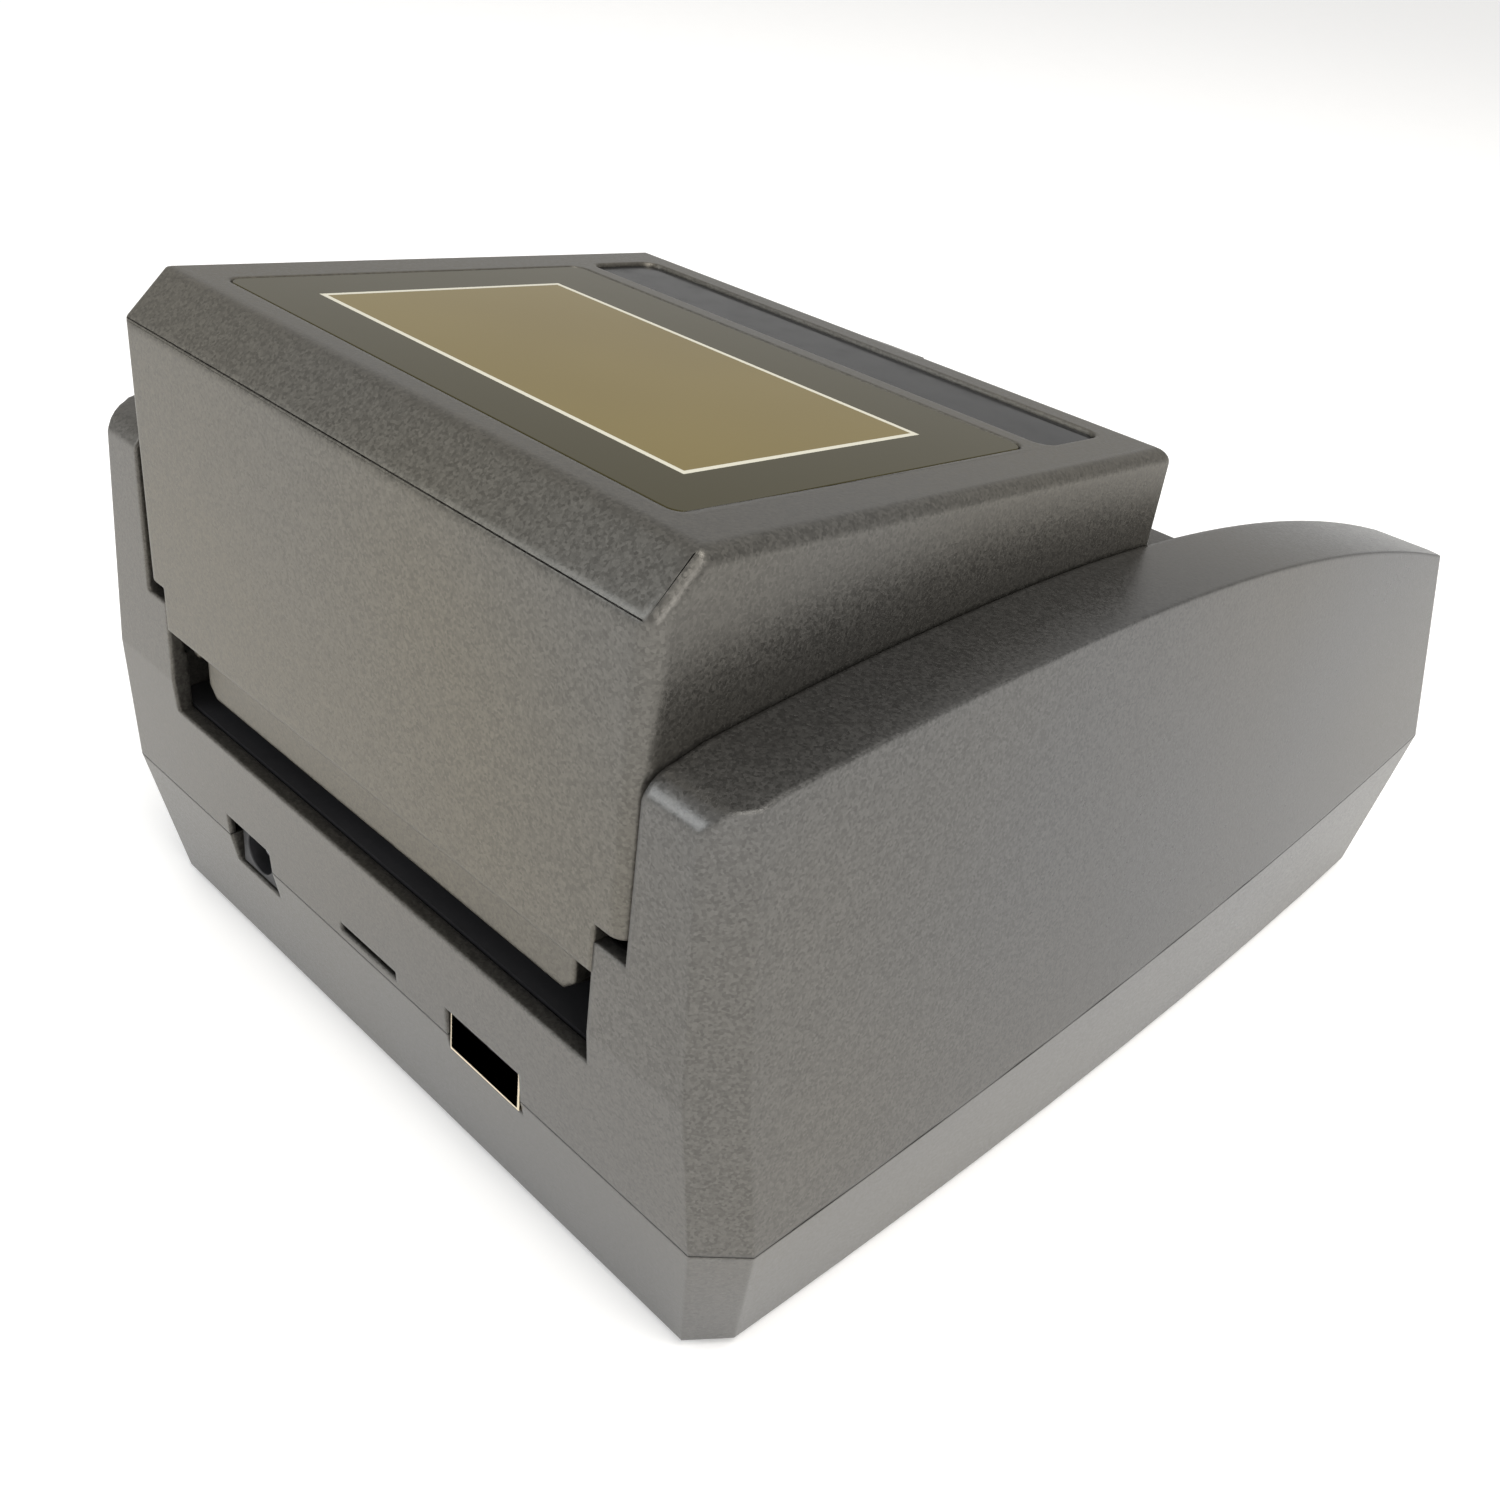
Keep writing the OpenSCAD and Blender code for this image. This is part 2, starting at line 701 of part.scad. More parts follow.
key_x = [-16, 0, 16];
key_z = hood_front_z - 13;
key_w = 11;
key_h = 5.6;

module hood_cover() color([0.43, 0.42, 0.40])
    difference() {
        union() {
            difference() {
                hood_outer();
                across(hood_w - 2 * hood_wall)
                    polygon([[half_l - hood_wall, 20], [half_l - hood_wall, hood_rear_z - 1],
                             [half_l - hood_cut_y - 1, hood_top_z - hood_wall - 0.1],
                             [hood_front_y + hood_wall, hood_front_z - hood_wall],
                             [hood_front_y + hood_wall, 20]]);
            }
            // Hinge lugs
            both_sides()
                rod(pivot_y, pivot_z, hood_half_w - hood_wall - 1.6, hood_half_w, pin_r + 2.6);
            // Pads that the display board and the key board are fixed to
            on_hood_top()
                for (sx = [-1, 1], sy = [-1, 1])
                    translate([sx * (screen_w / 2 + 2.2), screen_y + sy * (screen_l / 2 + 2.2), -5.4])
                        cylinder(h = 3.4, r = 1.6);
            for (sx = [-1, 1])
                translate([sx * 26, hood_front_y + hood_wall - 0.2, key_z])
                    rotate([-90, 0, 0]) cylinder(h = 6.2 - hood_wall, r = 2);
            // Posts that the guide plate is screwed to
            for (sx = [-1, 1], y = guide_post_y)
                translate([sx * guide_post_x, y, guide_deck_z])
                    cylinder(h = hood_z(y) - 1.5 - guide_deck_z, r = 2.8);
        }
        // Recess beside each casing tab
        both_sides()
            block(slot_half_w, hood_half_w + 1, 69, half_l + 1, 20, notch_z);
        both_sides()
            rod(pivot_y, pivot_z, 30, hood_half_w + 1, pin_r + run_gap);
        both_sides()
            rod(magnet_y, magnet_z, hood_half_w - hood_wall - 2, hood_half_w - 0.4, magnet_r + 0.05);
        for (sx = [-1, 1], y = guide_post_y)
            translate([sx * guide_post_x, y, guide_deck_z - 1]) cylinder(h = 9, r = 1.1);
        on_hood_top() {
            translate([0, window_y, -1.2]) rounded_bar(window_w + 0.3, window_l + 0.3, 3, 2);
            translate([0, screen_y, -10]) rounded_bar(screen_w + 0.8, screen_l + 0.8, 12, 0.6);
            translate([0, trim_y, -1.2]) rounded_bar(trim_w + 0.3, trim_l + 0.3, 3, 2.2);
        }
        for (x = key_x)
            translate([x, hood_front_y, key_z])
                rotate([90, 0, 0])
                    translate([0, 0, -6]) rounded_bar(key_w + 0.6, key_h + 0.6, 12, 1.6);
    }

function hood_z(y) = hood_top_z - (half_l - hood_cut_y - y) * tan(hood_tilt);

window_y = -3.9 - window_l / 2;
screen_w = 62.6;
screen_l = 35.2;
screen_y = -11.9 - screen_l / 2;
trim_w = 80;
trim_l = 11.6;
trim_y = -66.1;
guide_post_x = 40.2;
guide_post_y = [12, 66];
guide_deck_z = 52;

module upper_guide_plate() color([0.36, 0.36, 0.35]) {
    half_w = 37.5;
    rear_y = half_l - hood_wall - 0.1;
    t = 2;
    difference() {
        union() {
            // Deck over the bill path, turned up at both ends
            across(2 * half_w)
                polygon([[rear_y, strip_z], [72, bed_z(72) + path_gap],
                         [8, bed_z(8) + path_gap], [4.2, side_bottom_z - 2],
                         [4.2, side_bottom_z + 3], [6.2, side_bottom_z + 3],
                         [6.2, side_bottom_z - 1], [9, bed_z(9) + path_gap + t],
                         [70, bed_z(70) + path_gap + t], [rear_y - t, strip_z + t],
                         [rear_y - t, 54], [rear_y, 54]]);
            both_sides() {
                // Side walls and the ledges screwed to the hood's posts
                across(t, half_w - t / 2)
                    polygon([[rear_y - 0.5, strip_z + 1], [72, bed_z(72) + path_gap],
                             [8, bed_z(8) + path_gap], [5, side_bottom_z - 2],
                             [5, guide_deck_z], [rear_y - 0.5, guide_deck_z]]);
                for (y = guide_post_y)
                    block(half_w - t, guide_post_x + 3.2, y - 4, y + 4,
                          guide_deck_z - t, guide_deck_z - eps);
                // Fin beside the exit slot
                block(slot_half_w - 2, slot_half_w - 0.6, rear_y - 5, rear_y - 0.4, 45, 53);
                block(half_w - 1, slot_half_w - 0.6, rear_y - 5, rear_y - 3.4, 47, 53);
            }
        }
        // Bevelled lower ends of the visible strip
        both_sides()
            translate([half_w, rear_y - 3, strip_z])
                rotate([0, 45, 0]) cube([2.4, 12, 2.4], center = true);
        roller_windows(front_roller_y, pinch_window_half, 0, 38, 50);
        roller_windows(rear_roller_y, pinch_window_half, 0, 38, 50);
        block(-32, 32, lens_y - lens_l / 2 - 0.3, lens_y + lens_l / 2 + 0.3, 38, 46);
        for (sx = [-1, 1], y = guide_post_y)
            translate([sx * guide_post_x, y, 40]) cylinder(h = 20, r = 1.3);
        for (y = [front_roller_y, rear_roller_y])
            both_sides()
                block(half_w - t - 1, half_w + 1, y - pinch_shaft_r - run_gap, y + pinch_shaft_r + run_gap,
                      pinch_z(y) - pinch_shaft_r - run_gap, 60);
    }
}

pinch_shaft_r = 1.5;
function pinch_z(y) = bed_z(y) + roller_proud + 0.4 + pinch_r;

module guide_screws() color([0.62, 0.62, 0.64])
    for (sx = [-1, 1], y = guide_post_y)
        translate([sx * guide_post_x, y, guide_deck_z - 2]) {
            translate([0, 0, -1]) cylinder(h = 9, r = 1.05);
            translate([0, 0, -1.4 - eps]) cylinder(h = 1.4, r = 2.2);
        }

module pinch_tyres(y) color([0.78, 0.77, 0.72])
    for (sx = [-1, 1])
        difference() {
            rod(y, pinch_z(y), sx * roller_x - roller_w / 2 + 1, sx * roller_x + roller_w / 2 - 1, pinch_r);
            rod(y, pinch_z(y), sx * roller_x - roller_w, sx * roller_x + roller_w, pinch_shaft_r + run_gap);
        }

module front_pinch_rollers() pinch_tyres(front_roller_y);
module rear_pinch_rollers() pinch_tyres(rear_roller_y);

module pinch_shafts() color([0.70, 0.71, 0.73])
    for (y = [front_roller_y, rear_roller_y])
        rod(y, pinch_z(y), -38.2, 38.2, pinch_shaft_r);

// Leaf springs that press the pinch shafts down
module pinch_springs() color([0.75, 0.70, 0.55])
    for (y = [front_roller_y, rear_roller_y], sx = [-1, 1])
        across(5, sx * 32.5)
            polygon([[y - 6, pinch_z(y) + pinch_shaft_r + 2.4], [y, pinch_z(y) + pinch_shaft_r + 0.02],
                     [y + 6, pinch_z(y) + pinch_shaft_r + 2.4], [y + 6, pinch_z(y) + pinch_shaft_r + 2.8],
                     [y, pinch_z(y) + pinch_shaft_r + 0.42], [y - 6, pinch_z(y) + pinch_shaft_r + 2.8]]);

module upper_sensor_bar() color([0.10, 0.12, 0.16]) {
    z = bed_z(lens_y) + path_gap + 0.9;
    difference() {
        block(-31.7, 31.7, lens_y - lens_l / 2, lens_y + lens_l / 2, z, z + 5);
        for (i = [-4:4])
            translate([i * 6.6, lens_y, z - 1]) cylinder(h = 2, r = 1.8);
    }
}

module display_window() color([0.20, 0.19, 0.12])
    on_hood_top()
        translate([0, window_y, -1.18]) rounded_bar(window_w, window_l, 1.13, 2);

module lcd_module() color([0.52, 0.47, 0.24])
    on_hood_top()
        translate([0, screen_y, -5.2]) rounded_bar(screen_w, screen_l, 3.9, 0.5);

module display_board() color([0.08, 0.30, 0.16])
    on_hood_top() {
        translate([0, screen_y, -7]) rounded_bar(screen_w + 8, screen_l + 8, board_t, 1);
        translate([20, screen_y, -9]) rounded_bar(12, 8, 2.1, 0.4);
        translate([-18, screen_y, -8.6]) rounded_bar(9, 9, 1.7, 0.4);
    }

module trim_plate() color([0.13, 0.13, 0.12])
    on_hood_top()
        translate([0, trim_y, -1.18]) rounded_bar(trim_w, trim_l, 0.7, 2.2);

module key(x) color([0.14, 0.14, 0.15])
    translate([x, hood_front_y - 0.9, key_z])
        rotate([-90, 0, 0]) {
            rounded_bar(key_w, key_h, 4, 1.4);
            translate([0, 0, 3.6]) rounded_bar(key_w + 2.6, key_h + 2.6, 0.9, 1.4);
        }

module power_key() key(key_x[2]);
module mode_key() key(key_x[1]);
module currency_key() key(key_x[0]);

module key_board() color([0.08, 0.30, 0.16]) {
    y = hood_front_y + 6;
    block(-30, 30, y, y + board_t, key_z - 6, key_z + 6);
    for (x = key_x)
        block(x - 3, x + 3, y - 1.4, y + eps, key_z - 3, key_z + 3);
}

module lower_lens() color([0.55, 0.60, 0.62, 0.6])
    across(63.6)
        polygon([for (p = [[-1, -0.45], [-1, -0.05], [1, -0.05], [1, -0.45]])
            [lens_y + p[0] * lens_l / 2, bed_z(lens_y + p[0] * lens_l / 2) + p[1]]]);

module upper_lens() color([0.55, 0.60, 0.62, 0.6])
    across(63.6)
        polygon([for (p = [[-1, 0.05], [-1, 0.45], [1, 0.45], [1, 0.05]])
            [lens_y + p[0] * lens_l / 2, bed_z(lens_y + p[0] * lens_l / 2) + path_gap + p[1]]]);

magnet_y = 12;
magnet_z = 62;
magnet_r = 3;

// Magnets in the hood's sides and the steel plates that they hold on to
module hood_magnets() color([0.75, 0.76, 0.78])
    both_sides()
        rod(magnet_y, magnet_z, hood_half_w - hood_wall - 1.5, hood_half_w - 0.4, magnet_r);

module magnet_plates() color([0.66, 0.67, 0.68])
    both_sides()
        rod(magnet_y, magnet_z, channel_half_w + 0.1, channel_half_w + 1.2, magnet_r);

lower_casing();
upper_casing();
rubber_feet();
casing_screws();
bill_bed();
bed_screws();
shaft_bushes();
front_shaft();
front_drive_rollers();
front_pulley();
rear_shaft();
rear_drive_rollers();
rear_pulley();
motor();
motor_bracket();
motor_pulley();
drive_belt();
lower_sensor_bar();
main_board();
board_screws();
io_board();
io_board_screws();
usb_port();
usb_tongue();
dc_jack();
dc_jack_pin();
card_socket();
battery_pack();
buzzer();
hinge_pins();
hood_cover();
upper_guide_plate();
guide_screws();
front_pinch_rollers();
rear_pinch_rollers();
pinch_shafts();
pinch_springs();
upper_sensor_bar();
display_window();
lcd_module();
display_board();
trim_plate();
power_key();
mode_key();
currency_key();
key_board();
lower_lens();
upper_lens();
hood_magnets();
magnet_plates();
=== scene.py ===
"""Looks for the counterfeit bill detector: materials, softened edges, small details, studio and camera."""

import math

import bpy
from mathutils import Matrix, Vector


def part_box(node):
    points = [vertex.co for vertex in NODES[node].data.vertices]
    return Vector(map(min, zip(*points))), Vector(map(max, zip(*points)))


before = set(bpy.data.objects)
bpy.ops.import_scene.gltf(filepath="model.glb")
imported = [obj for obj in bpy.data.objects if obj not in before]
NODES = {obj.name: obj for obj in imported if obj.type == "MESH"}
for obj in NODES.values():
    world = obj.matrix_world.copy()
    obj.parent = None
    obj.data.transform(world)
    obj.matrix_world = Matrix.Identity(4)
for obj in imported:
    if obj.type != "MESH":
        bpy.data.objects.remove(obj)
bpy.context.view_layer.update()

MM = 0.001


# ------------------------------------------------------------ node graphs


class Graph:
    """A short way to write a material's nodes."""

    def __init__(self, name):
        self.material = bpy.data.materials.new(name)
        self.material.use_nodes = True
        self.tree = self.material.node_tree
        self.tree.nodes.clear()
        self.output = self.tree.nodes.new("ShaderNodeOutputMaterial")
        self.shader = self.tree.nodes.new("ShaderNodeBsdfPrincipled")
        self.tree.links.new(self.shader.outputs[0], self.output.inputs["Surface"])
        self.place = self.add("ShaderNodeTexCoord").outputs["Object"]

    def add(self, kind, **settings):
        n = self.tree.nodes.new(kind)
        for key, value in settings.items():
            setattr(n, key, value)
        return n

    def put(self, socket, value):
        if isinstance(value, bpy.types.NodeSocket):
            self.tree.links.new(value, socket)
        elif isinstance(value, tuple) and len(value) == 3 and socket.type == "RGBA":
            socket.default_value = (*value, 1)
        else:
            socket.default_value = value

    def math(self, operation, a, b=0.0, clamp=False):
        n = self.add("ShaderNodeMath", operation=operation, use_clamp=clamp)
        self.put(n.inputs[0], a)
        self.put(n.inputs[1], b)
        return n.outputs[0]

    def dot(self, vector, direction):
        n = self.add("ShaderNodeVectorMath", operation="DOT_PRODUCT")
        self.put(n.inputs[0], vector)
        n.inputs[1].default_value = direction
        return n.outputs["Value"]

    def stretch(self, scale):
        n = self.add("ShaderNodeMapping")
        self.put(n.inputs["Vector"], self.place)
        n.inputs["Scale"].default_value = scale
        return n.outputs[0]

    def noise(self, scale, detail=2.0, rough=0.5, vector=None):
        n = self.add("ShaderNodeTexNoise")
        self.put(n.inputs["Vector"], vector or self.place)
        self.put(n.inputs["Scale"], scale)
        self.put(n.inputs["Detail"], detail)
        self.put(n.inputs["Roughness"], rough)
        return n.outputs["Fac"]

    def cells(self, scale):
        """A random grey for each small cell, as metal flakes or sintered grains have."""
        n = self.add("ShaderNodeTexVoronoi")
        self.put(n.inputs["Vector"], self.place)
        self.put(n.inputs["Scale"], scale)
        split = self.add("ShaderNodeSeparateColor")
        self.put(split.inputs[0], n.outputs["Color"])
        return split.outputs[0]

    def remap(self, value, low, high, start=0.0, end=1.0):
        n = self.add("ShaderNodeMapRange")
        self.put(n.inputs["Value"], value)
        for key, x in (("From Min", start), ("From Max", end), ("To Min", low), ("To Max", high)):
            self.put(n.inputs[key], x)
        return n.outputs[0]

    def mix(self, factor, a, b):
        n = self.add("ShaderNodeMix", data_type="RGBA")
        self.put(n.inputs[0], factor)
        self.put(n.inputs[6], a)
        self.put(n.inputs[7], b)
        return n.outputs[2]

    def scale_colour(self, colour, factor):
        n = self.add("ShaderNodeVectorMath", operation="SCALE")
        if isinstance(colour, bpy.types.NodeSocket):
            self.put(n.inputs[0], colour)
        else:
            n.inputs[0].default_value = colour
        self.put(n.inputs["Scale"], factor)
        return n.outputs[0]

    def bump(self, height, depth, strength=1.0, edge=0.0):
        n = self.add("ShaderNodeBump")
        if edge:
            soft = self.add("ShaderNodeBevel", samples=6)
            soft.inputs["Radius"].default_value = edge
            self.put(n.inputs["Normal"], soft.outputs[0])
        self.put(n.inputs["Height"], height)
        self.put(n.inputs["Distance"], depth)
        self.put(n.inputs["Strength"], strength)
        self.put(self.shader.inputs["Normal"], n.outputs[0])

    def set(self, **values):
        for key, value in values.items():
            self.put(self.shader.inputs[key.replace("_", " ")], value)
        return self


# The plane of the parting line: level at the rear edge, higher at the front
SEAM_TILT = math.atan2(8.3, 168)
SEAM_NORMAL = (0, math.sin(SEAM_TILT), math.cos(SEAM_TILT))
SEAM_LEVEL = Vector((0, 84 * MM, 21.5 * MM)).dot(Vector(SEAM_NORMAL))


def paint(name, colour, warm, seam=False):
    """Satin metallic paint on a finely textured moulding."""
    g = Graph(name)
    flakes = g.cells(3100)
    fine = g.noise(2600, 3)
    cloudy = g.noise(9, 2)
    tint = g.mix(g.remap(cloudy, 0.0, 1.0, 0.35, 0.65), colour, warm)
    bright = g.math("MULTIPLY", g.remap(flakes, 0.80, 1.20), g.remap(fine, 0.92, 1.08, 0.3, 0.7))
    if seam:
        # The thin shadow of the parting line, on a plane that rises toward the front
        height = g.math("SUBTRACT", g.dot(g.place, SEAM_NORMAL), SEAM_LEVEL)
        near = g.math("LESS_THAN", g.math("ABSOLUTE", height), 0.11 * MM)
        bright = g.math("MULTIPLY", bright, g.remap(near, 1.0, 0.22))
    g.set(Base_Color=g.scale_colour(tint, bright), Metallic=0.82)
    g.set(Roughness=g.math("ADD", g.remap(flakes, 0.27, 0.38), g.remap(cloudy, -0.02, 0.04)))
    g.bump(g.math("ADD", fine, g.math("MULTIPLY", flakes, 0.5)), 0.016 * MM, 0.8, 0.8 * MM)
    return g.material


def moulded(name, colour, rough=0.5, grain=1200, depth=0.012, shine=0.4):
    """Spark-eroded moulded plastic."""
    g = Graph(name)
    fine = g.noise(grain, 4, 0.6)
    broad = g.noise(40, 3)
    g.set(Base_Color=g.scale_colour(colour, g.remap(broad, 0.85, 1.15, 0.3, 0.7)))
    g.set(Roughness=g.remap(fine, rough - 0.08, rough + 0.08, 0.3, 0.7))
    g.set(Specular_IOR_Level=shine)
    g.bump(fine, depth * MM)
    return g.material


def rubber(name, colour):
    g = Graph(name)
    dust = g.noise(700, 5, 0.7)
    g.set(Base_Color=g.scale_colour(colour, g.remap(dust, 0.7, 1.5, 0.3, 0.75)))
    g.set(Roughness=g.remap(dust, 0.66, 0.88, 0.3, 0.7), Specular_IOR_Level=0.3)
    g.bump(dust, 0.05 * MM)
    return g.material


def steel(name, colour, rough=0.28):
    """Drawn or stamped metal with fine lines and a little tarnish."""
    g = Graph(name)
    lines = g.noise(60, 3, 0.6, g.stretch((1, 90, 90)))
    stain = g.noise(90, 4)
    g.set(Base_Color=g.scale_colour(colour, g.remap(stain, 0.8, 1.08, 0.3, 0.7)), Metallic=1.0)
    g.set(Roughness=g.remap(lines, rough - 0.07, rough + 0.1, 0.3, 0.7))
    g.bump(lines, 0.006 * MM)
    return g.material


def board(name):
    """Circuit board: lacquer over copper tracks."""
    g = Graph(name)
    wave = g.add("ShaderNodeTexBrick", offset=0.37, squash=1.6)
    g.put(wave.inputs["Vector"], g.place)
    g.put(wave.inputs["Scale"], 260.0)
    g.put(wave.inputs["Mortar Size"], 0.09)
    wave.inputs["Color1"].default_value = (0, 0, 0, 1)
    wave.inputs["Color2"].default_value = (0.25, 0.25, 0.25, 1)
    wave.inputs["Mortar"].default_value = (1, 1, 1, 1)
    grain = g.noise(500, 3)
    tracks = g.mix(wave.outputs["Color"], (0.012, 0.085, 0.035), (0.03, 0.17, 0.07))
    g.set(Base_Color=g.scale_colour(tracks, g.remap(grain, 0.8, 1.2, 0.3, 0.7)))
    g.set(Roughness=g.remap(grain, 0.25, 0.42, 0.3, 0.7), Coat_Weight=0.4, Coat_Roughness=0.2)
    g.bump(wave.outputs["Color"], 0.03 * MM)
    return g.material


# The hood's sloping top: how it tilts, and where the display sits in it
window_low, window_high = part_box("display_window")
TOP_TILT = math.atan2(5.3, 76.8)
ALONG = Vector((0, math.cos(TOP_TILT), math.sin(TOP_TILT)))
screen_low, screen_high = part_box("lcd_module")
SCREEN_CENTRE = (screen_low + screen_high) / 2
SCREEN_HALF = Vector((0.0313, 0.0176))
BORDER = 0.35 * MM


def overlay():
    """Glossy dark overlay with a plain white line around the display; its olive tint and the olive-brown
    screen are partly painted reflection of warm room light.
    """
    g = Graph("display_overlay")
    x = g.math("ABSOLUTE", g.dot(g.place, (1, 0, 0)))
    y = g.math("SUBTRACT", g.dot(g.place, tuple(ALONG)), SCREEN_CENTRE.dot(ALONG))
    outside = g.math(
        "MAXIMUM",
        g.math("SUBTRACT", x, SCREEN_HALF.x),
        g.math("SUBTRACT", g.math("ABSOLUTE", y), SCREEN_HALF.y),
    )
    inside = g.math("LESS_THAN", outside, 0.0)
    line = g.math("LESS_THAN", g.math("ABSOLUTE", outside), BORDER)
    grime = g.noise(140, 4)
    film = g.noise(18, 2)
    # The olive-brown screen and the dark olive overlay colours are partly the parts' own dark colour and
    # partly painted reflection of warm room light.
    screen_and_painted_reflection = g.mix(g.remap(film, 0, 1, 0.3, 0.7), (0.150, 0.112, 0.030), (0.180, 0.138, 0.040))
    overlay_and_painted_reflection = g.mix(inside, (0.040, 0.034, 0.012), screen_and_painted_reflection)
    g.set(Base_Color=g.mix(line, overlay_and_painted_reflection, (0.62, 0.60, 0.50)))
    g.set(Roughness=g.remap(grime, 0.06, 0.14, 0.3, 0.7), Specular_IOR_Level=0.12)
    g.bump(film, 0.02 * MM, 0.3)
    return g.material


def lens(name):
    g = Graph(name)
    film = g.noise(300, 3)
    g.set(Base_Color=g.mix(g.remap(film, 0, 1, 0.3, 0.7), (0.55, 0.60, 0.62), (0.42, 0.47, 0.5)))
    g.set(Roughness=g.remap(film, 0.04, 0.15, 0.3, 0.7), Transmission_Weight=0.8, IOR=1.49)
    return g.material


CASING = (0.112, 0.112, 0.112)
CASING_WARM = (0.126, 0.119, 0.106)
casing_paint = paint("casing_paint", CASING, CASING_WARM, seam=True)
hood_paint = paint("hood_paint", (0.114, 0.112, 0.108), (0.132, 0.121, 0.098))
black_plastic = moulded("black_plastic", (0.018, 0.018, 0.020))
key_plastic = moulded("key_plastic", (0.030, 0.030, 0.032), 0.42, 900)
pale_plastic = moulded("pale_plastic", (0.58, 0.56, 0.50), 0.45, 700)
foot_rubber = rubber("foot_rubber", (0.012, 0.012, 0.012))
roller_rubber = rubber("roller_rubber", (0.028, 0.028, 0.031))
belt_rubber = rubber("belt_rubber", (0.010, 0.010, 0.010))
bright_steel = steel("bright_steel", (0.56, 0.57, 0.59))
shell_gold = steel("shell_gold", (0.72, 0.63, 0.47), 0.22)
bronze = steel("bush_bronze", (0.48, 0.30, 0.12), 0.4)
spring_steel = steel("spring_steel", (0.55, 0.50, 0.38), 0.3)
green_board = board("green_board")
battery_wrap = moulded("battery_wrap", (0.035, 0.085, 0.24), 0.3, 300, 0.03)
overlay_gloss = overlay()
# The display panel's olive-brown colour is partly its own and partly painted reflection of warm room
# light.
panel_glass_painted_reflection = moulded("display_panel", (0.20, 0.155, 0.04), 0.2, 300, 0.002)
trim_gloss = moulded("trim_gloss", (0.012, 0.0125, 0.014), 0.16, 200, 0.004, 0.12)
clear_lens = lens("clear_lens")

FINISH = {
    casing_paint: ["lower_casing", "upper_casing"],
    hood_paint: ["hood_cover", "upper_guide_plate"],
    black_plastic: ["bill_bed", "lower_sensor_bar", "upper_sensor_bar", "usb_tongue",
                    "dc_jack", "buzzer"],
    key_plastic: ["power_key", "mode_key", "currency_key"],
    pale_plastic: ["front_pulley", "rear_pulley", "motor_pulley", "front_pinch_rollers",
                   "rear_pinch_rollers"],
    foot_rubber: ["rubber_feet"],
    roller_rubber: ["front_drive_rollers", "rear_drive_rollers"],
    belt_rubber: ["drive_belt"],
    bright_steel: ["casing_screws", "bed_screws", "front_shaft", "rear_shaft", "motor", "motor_bracket",
                   "board_screws", "io_board_screws", "dc_jack_pin", "card_socket", "hinge_pins",
                   "guide_screws", "pinch_shafts", "hood_magnets", "magnet_plates"],
    spring_steel: ["pinch_springs"],
    shell_gold: ["usb_port"],
    bronze: ["shaft_bushes"],
    green_board: ["main_board", "io_board", "display_board", "key_board"],
    battery_wrap: ["battery_pack"],
    overlay_gloss: ["display_window"],
    panel_glass_painted_reflection: ["lcd_module"],
    trim_gloss: ["trim_plate"],
    clear_lens: ["lower_lens", "upper_lens"],
}
for material, names in FINISH.items():
    for name in names:
        mesh = NODES[name].data
        mesh.materials.clear()
        mesh.materials.append(material)


# ---------------------------------------------------------- softened edges


def soften(name, width, segments=3, angle=24):
    """Rounds a moulding's sharp edges and shades its gentle curves smoothly.

    The casings' bevel is clamped, so nearly all of their rounding is in the paint's shading.
    """
    piece = NODES[name]
    bpy.context.view_layer.objects.active = piece
    piece.select_set(True)
    if piece.data.has_custom_normals:
        bpy.ops.mesh.customdata_custom_splitnormals_clear()
    piece.select_set(False)
    for polygon in piece.data.polygons:
        polygon.use_smooth = True
    weld = piece.modifiers.new("weld", "WELD")
    weld.merge_threshold = 0.002 * MM
    flat = piece.modifiers.new("flat_faces", "DECIMATE")
    flat.decimate_type = "DISSOLVE"
    flat.angle_limit = math.radians(0.4)
    round_off = piece.modifiers.new("round_off", "BEVEL")
    round_off.width = width * MM
    round_off.segments = segments
    round_off.limit_method = "ANGLE"
    round_off.angle_limit = math.radians(angle)
    round_off.harden_normals = False
    round_off.use_clamp_overlap = name.endswith("casing")
    round_off.miter_outer = "MITER_ARC"
    shade = piece.modifiers.new("shade", "WEIGHTED_NORMAL")
    shade.keep_sharp = True
    shade.weight = 90


for name, width in {
    "lower_casing": 0.5,
    "upper_casing": 0.5,
    "hood_cover": 0.2,
    "upper_guide_plate": 0.3,
    "usb_port": 0.12,
    "dc_jack": 0.2,
    "display_window": 0.15,
    "trim_plate": 0.1,
    "power_key": 0.4,
    "mode_key": 0.4,
    "currency_key": 0.4,
    "rubber_feet": 0.5,
    "casing_screws": 0.15,
    "card_socket": 0.15,
    "motor": 0.4,
    "hinge_pins": 0.3,
}.items():
    soften(name, width)


# ----------------------------------------------------------------- studio


def soft_light(name, place, target, size, power, colour=(1, 1, 1)):
    lamp = bpy.data.lights.new(name, "AREA")
    lamp.shape = "RECTANGLE"
    lamp.size, lamp.size_y = size
    lamp.energy = power
    lamp.color = colour
    holder = bpy.data.objects.new(name, lamp)
    bpy.context.scene.collection.objects.link(holder)
    holder.location = place
    holder.rotation_euler = (Vector(target) - Vector(place)).to_track_quat("-Z", "Y").to_euler()
    return holder


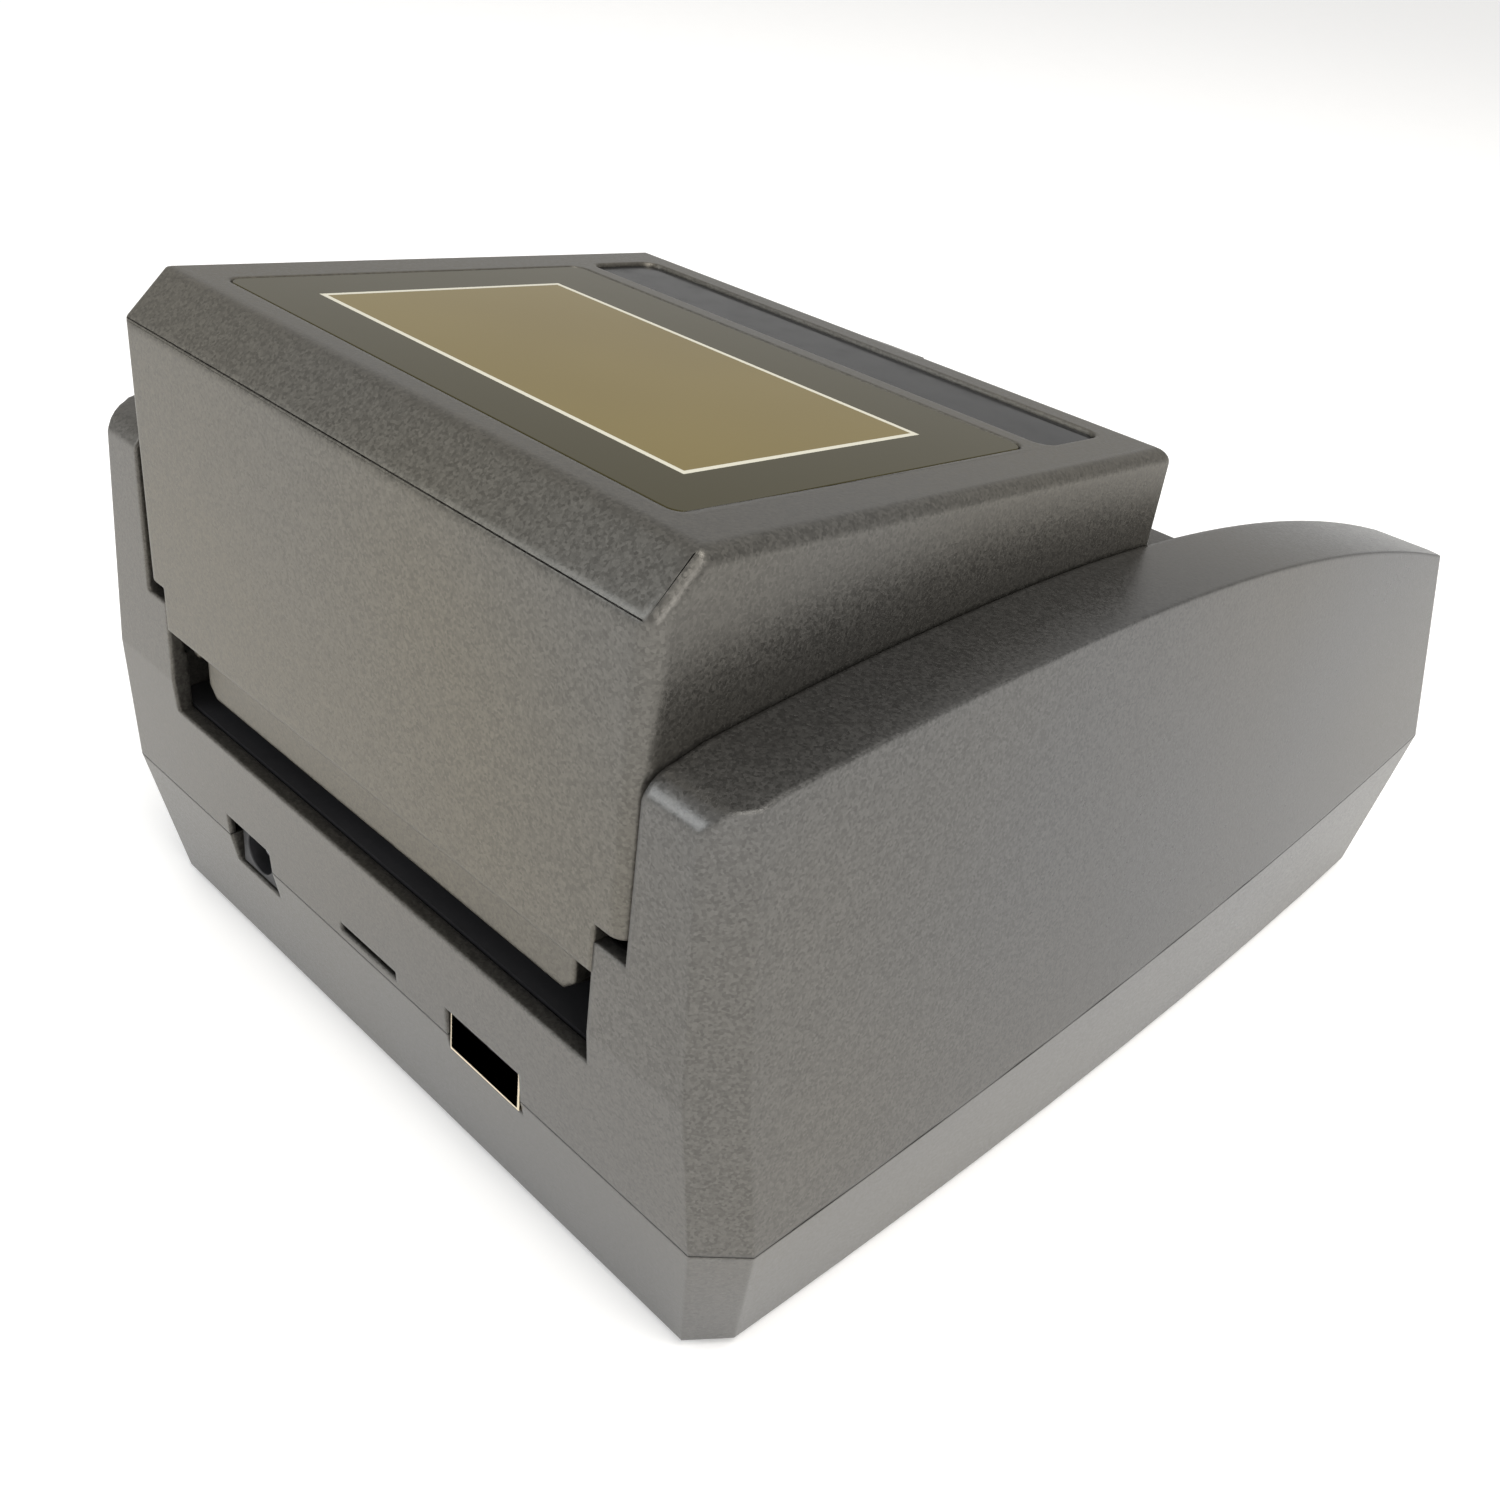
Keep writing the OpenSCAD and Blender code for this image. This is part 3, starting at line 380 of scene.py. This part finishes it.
MIDDLE = (0, 0, 0.045)
soft_light("top_softbox", (-0.55, 0.15, 1.35), MIDDLE, (0.7, 0.9), 13, (1.0, 0.97, 0.92))
soft_light("rear_softbox", (0.75, 1.25, 0.8), MIDDLE, (0.8, 0.6), 6, (0.90, 0.95, 1.0))
soft_light("side_softbox", (-1.35, 0.55, 0.55), MIDDLE, (0.6, 0.6), 5, (1.0, 0.98, 0.96))

world = bpy.data.worlds.new("studio")
world.use_nodes = True
world.node_tree.nodes["Background"].inputs["Color"].default_value = (1.0, 0.99, 0.97, 1)
world.node_tree.nodes["Background"].inputs["Strength"].default_value = 0.62
bpy.context.scene.world = world

mesh = bpy.data.meshes.new("floor")
HALF_FLOOR = 60.0
mesh.from_pydata(
    [(sx * HALF_FLOOR, sy * HALF_FLOOR, 0) for sx, sy in ((-1, -1), (1, -1), (1, 1), (-1, 1))],
    [],
    [(0, 1, 2, 3)],
)
floor = bpy.data.objects.new("floor", mesh)
bpy.context.scene.collection.objects.link(floor)
g = Graph("floor_white")
paper = g.noise(60, 4)
g.set(Base_Color=g.mix(g.remap(paper, 0, 1, 0.3, 0.7), (0.90, 0.90, 0.90), (0.93, 0.93, 0.93)))
g.set(Roughness=0.9)
g.set(Emission_Color=(1.0, 1.0, 1.0), Emission_Strength=0.25)
mesh.materials.append(g.material)

# ----------------------------------------------------------------- camera

# The viewpoint is behind the detector's left rear corner, close to it
CAMERA_PLACE = Vector((-0.12664, 0.16065, 0.14635))
CAMERA_TURN = tuple(math.radians(a) for a in (58.929, -6.531, -135.416))
FOCAL = 1502 / 1500
camera = bpy.data.objects.new("camera", bpy.data.cameras.new("camera"))
bpy.context.scene.collection.objects.link(camera)
camera.data.sensor_width = 36
camera.data.lens = 36 * FOCAL
camera.data.shift_x = -0.0101
camera.data.shift_y = -0.0113
camera.data.clip_start = 0.005
camera.location = CAMERA_PLACE
camera.rotation_euler = CAMERA_TURN
bpy.context.scene.camera = camera
bpy.context.scene.view_settings.view_transform = "Standard"
